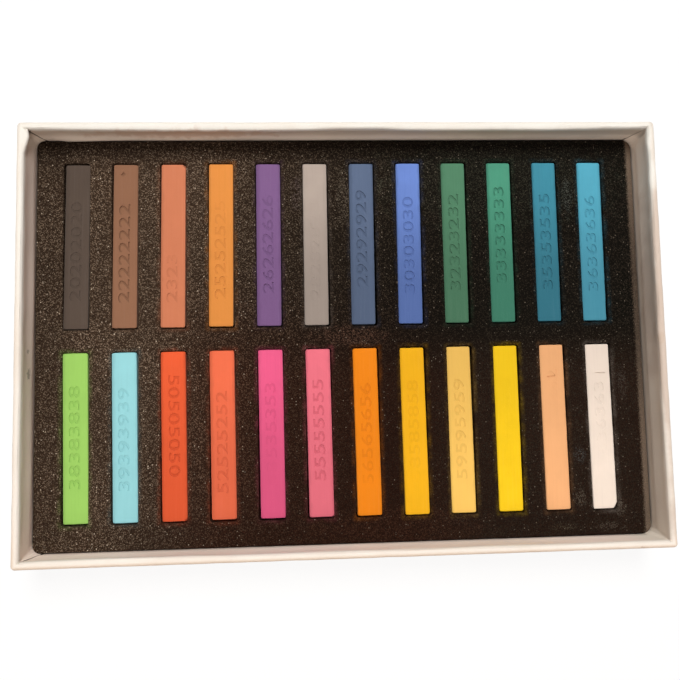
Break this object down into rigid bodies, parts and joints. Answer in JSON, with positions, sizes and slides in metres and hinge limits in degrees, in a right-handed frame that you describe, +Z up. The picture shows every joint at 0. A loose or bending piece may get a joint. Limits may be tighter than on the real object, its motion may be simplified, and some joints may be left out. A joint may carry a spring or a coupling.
{
  "type": "pastel drawer box",
  "caption": "Shallow open card tray, wrapped in white paper, holding square soft pastels in a dark die-cut foam insert.",
  "frame": {"origin": "centre of the tray's underside, on the surface that it stands on", "axes": "+X along the tray's long side, to the right in the picture; +Y to the tray's rear, the top of the picture; +Z up, out of the open top"},
  "size_m": [0.245, 0.1644, 0.027],
  "materials": {
    "wrap_paper": "matt, uncoated",
    "liner_paper": "matt",
    "greyboard": "raw pulp board",
    "gummed_tape": "matt kraft",
    "foam": "matt, fine open cells",
    "chalk_charcoal": "matt, chalky",
    "chalk_brown": "matt, chalky",
    "chalk_terracotta": "matt, chalky",
    "chalk_orange": "matt, chalky",
    "chalk_purple": "matt, chalky",
    "chalk_warm_grey": "matt, chalky",
    "chalk_slate_blue": "matt, chalky",
    "chalk_cobalt": "matt, chalky",
    "chalk_sage_green": "matt, chalky",
    "chalk_emerald": "matt, chalky",
    "chalk_deep_teal": "matt, chalky",
    "chalk_sky_blue": "matt, chalky",
    "chalk_lime_green": "matt, chalky",
    "chalk_aqua": "matt, chalky",
    "chalk_vermilion": "matt, chalky",
    "chalk_coral": "matt, chalky",
    "chalk_magenta_pink": "matt, chalky",
    "chalk_rose_pink": "matt, chalky",
    "chalk_bright_orange": "matt, chalky",
    "chalk_golden_yellow": "matt, chalky",
    "chalk_ochre": "matt, chalky",
    "chalk_lemon_yellow": "matt, chalky",
    "chalk_peach": "matt, chalky",
    "chalk_white": "matt, chalky"
  },
  "bodies": {
    "tray": {"base_board": "greyboard", "front_wall_board": "greyboard", "rear_wall_board": "greyboard", "left_wall_board": "greyboard", "right_wall_board": "greyboard", "corner_stay_front_left": "gummed_tape", "corner_stay_front_right": "gummed_tape", "corner_stay_rear_left": "gummed_tape", "corner_stay_rear_right": "gummed_tape", "outer_wrap": "wrap_paper", "base_sheet": "wrap_paper", "floor_liner": "liner_paper"},
    "insert": {"foam_underlay": "foam", "foam_insert": "foam"},
    "charcoal_stick": {"pastel_charcoal": "chalk_charcoal"},
    "brown_stick": {"pastel_brown": "chalk_brown"},
    "terracotta_stick": {"pastel_terracotta": "chalk_terracotta"},
    "orange_stick": {"pastel_orange": "chalk_orange"},
    "purple_stick": {"pastel_purple": "chalk_purple"},
    "warm_grey_stick": {"pastel_warm_grey": "chalk_warm_grey"},
    "slate_blue_stick": {"pastel_slate_blue": "chalk_slate_blue"},
    "cobalt_stick": {"pastel_cobalt": "chalk_cobalt"},
    "sage_green_stick": {"pastel_sage_green": "chalk_sage_green"},
    "emerald_stick": {"pastel_emerald": "chalk_emerald"},
    "deep_teal_stick": {"pastel_deep_teal": "chalk_deep_teal"},
    "sky_blue_stick": {"pastel_sky_blue": "chalk_sky_blue"},
    "lime_green_stick": {"pastel_lime_green": "chalk_lime_green"},
    "aqua_stick": {"pastel_aqua": "chalk_aqua"},
    "vermilion_stick": {"pastel_vermilion": "chalk_vermilion"},
    "coral_stick": {"pastel_coral": "chalk_coral"},
    "magenta_pink_stick": {"pastel_magenta_pink": "chalk_magenta_pink"},
    "rose_pink_stick": {"pastel_rose_pink": "chalk_rose_pink"},
    "bright_orange_stick": {"pastel_bright_orange": "chalk_bright_orange"},
    "golden_yellow_stick": {"pastel_golden_yellow": "chalk_golden_yellow"},
    "ochre_stick": {"pastel_ochre": "chalk_ochre"},
    "lemon_yellow_stick": {"pastel_lemon_yellow": "chalk_lemon_yellow"},
    "peach_stick": {"pastel_peach": "chalk_peach"},
    "white_stick": {"pastel_white": "chalk_white"}
  },
  "joints": [
    {"name": "insert_lift", "type": "slide", "parent": "tray", "child": "insert", "axis": [0, 0, 1], "range_m": [0, 0.0265]},
    {"name": "charcoal_lift", "type": "slide", "parent": "insert", "child": "charcoal_stick", "axis": [0, 0, 1], "range_m": [0, 0.024]},
    {"name": "brown_lift", "type": "slide", "parent": "insert", "child": "brown_stick", "axis": [0, 0, 1], "range_m": [0, 0.024]},
    {"name": "terracotta_lift", "type": "slide", "parent": "insert", "child": "terracotta_stick", "axis": [0, 0, 1], "range_m": [0, 0.024]},
    {"name": "orange_lift", "type": "slide", "parent": "insert", "child": "orange_stick", "axis": [0, 0, 1], "range_m": [0, 0.024]},
    {"name": "purple_lift", "type": "slide", "parent": "insert", "child": "purple_stick", "axis": [0, 0, 1], "range_m": [0, 0.024]},
    {"name": "warm_grey_lift", "type": "slide", "parent": "insert", "child": "warm_grey_stick", "axis": [0, 0, 1], "range_m": [0, 0.024]},
    {"name": "slate_blue_lift", "type": "slide", "parent": "insert", "child": "slate_blue_stick", "axis": [0, 0, 1], "range_m": [0, 0.024]},
    {"name": "cobalt_lift", "type": "slide", "parent": "insert", "child": "cobalt_stick", "axis": [0, 0, 1], "range_m": [0, 0.024]},
    {"name": "sage_green_lift", "type": "slide", "parent": "insert", "child": "sage_green_stick", "axis": [0, 0, 1], "range_m": [0, 0.024]},
    {"name": "emerald_lift", "type": "slide", "parent": "insert", "child": "emerald_stick", "axis": [0, 0, 1], "range_m": [0, 0.024]},
    {"name": "deep_teal_lift", "type": "slide", "parent": "insert", "child": "deep_teal_stick", "axis": [0, 0, 1], "range_m": [0, 0.024]},
    {"name": "sky_blue_lift", "type": "slide", "parent": "insert", "child": "sky_blue_stick", "axis": [0, 0, 1], "range_m": [0, 0.024]},
    {"name": "lime_green_lift", "type": "slide", "parent": "insert", "child": "lime_green_stick", "axis": [0, 0, 1], "range_m": [0, 0.024]},
    {"name": "aqua_lift", "type": "slide", "parent": "insert", "child": "aqua_stick", "axis": [0, 0, 1], "range_m": [0, 0.024]},
    {"name": "vermilion_lift", "type": "slide", "parent": "insert", "child": "vermilion_stick", "axis": [0, 0, 1], "range_m": [0, 0.024]},
    {"name": "coral_lift", "type": "slide", "parent": "insert", "child": "coral_stick", "axis": [0, 0, 1], "range_m": [0, 0.024]},
    {"name": "magenta_pink_lift", "type": "slide", "parent": "insert", "child": "magenta_pink_stick", "axis": [0, 0, 1], "range_m": [0, 0.024]},
    {"name": "rose_pink_lift", "type": "slide", "parent": "insert", "child": "rose_pink_stick", "axis": [0, 0, 1], "range_m": [0, 0.024]},
    {"name": "bright_orange_lift", "type": "slide", "parent": "insert", "child": "bright_orange_stick", "axis": [0, 0, 1], "range_m": [0, 0.024]},
    {"name": "golden_yellow_lift", "type": "slide", "parent": "insert", "child": "golden_yellow_stick", "axis": [0, 0, 1], "range_m": [0, 0.024]},
    {"name": "ochre_lift", "type": "slide", "parent": "insert", "child": "ochre_stick", "axis": [0, 0, 1], "range_m": [0, 0.024]},
    {"name": "lemon_yellow_lift", "type": "slide", "parent": "insert", "child": "lemon_yellow_stick", "axis": [0, 0, 1], "range_m": [0, 0.024]},
    {"name": "peach_lift", "type": "slide", "parent": "insert", "child": "peach_stick", "axis": [0, 0, 1], "range_m": [0, 0.024]},
    {"name": "white_lift", "type": "slide", "parent": "insert", "child": "white_stick", "axis": [0, 0, 1], "range_m": [0, 0.024]}
  ]
}
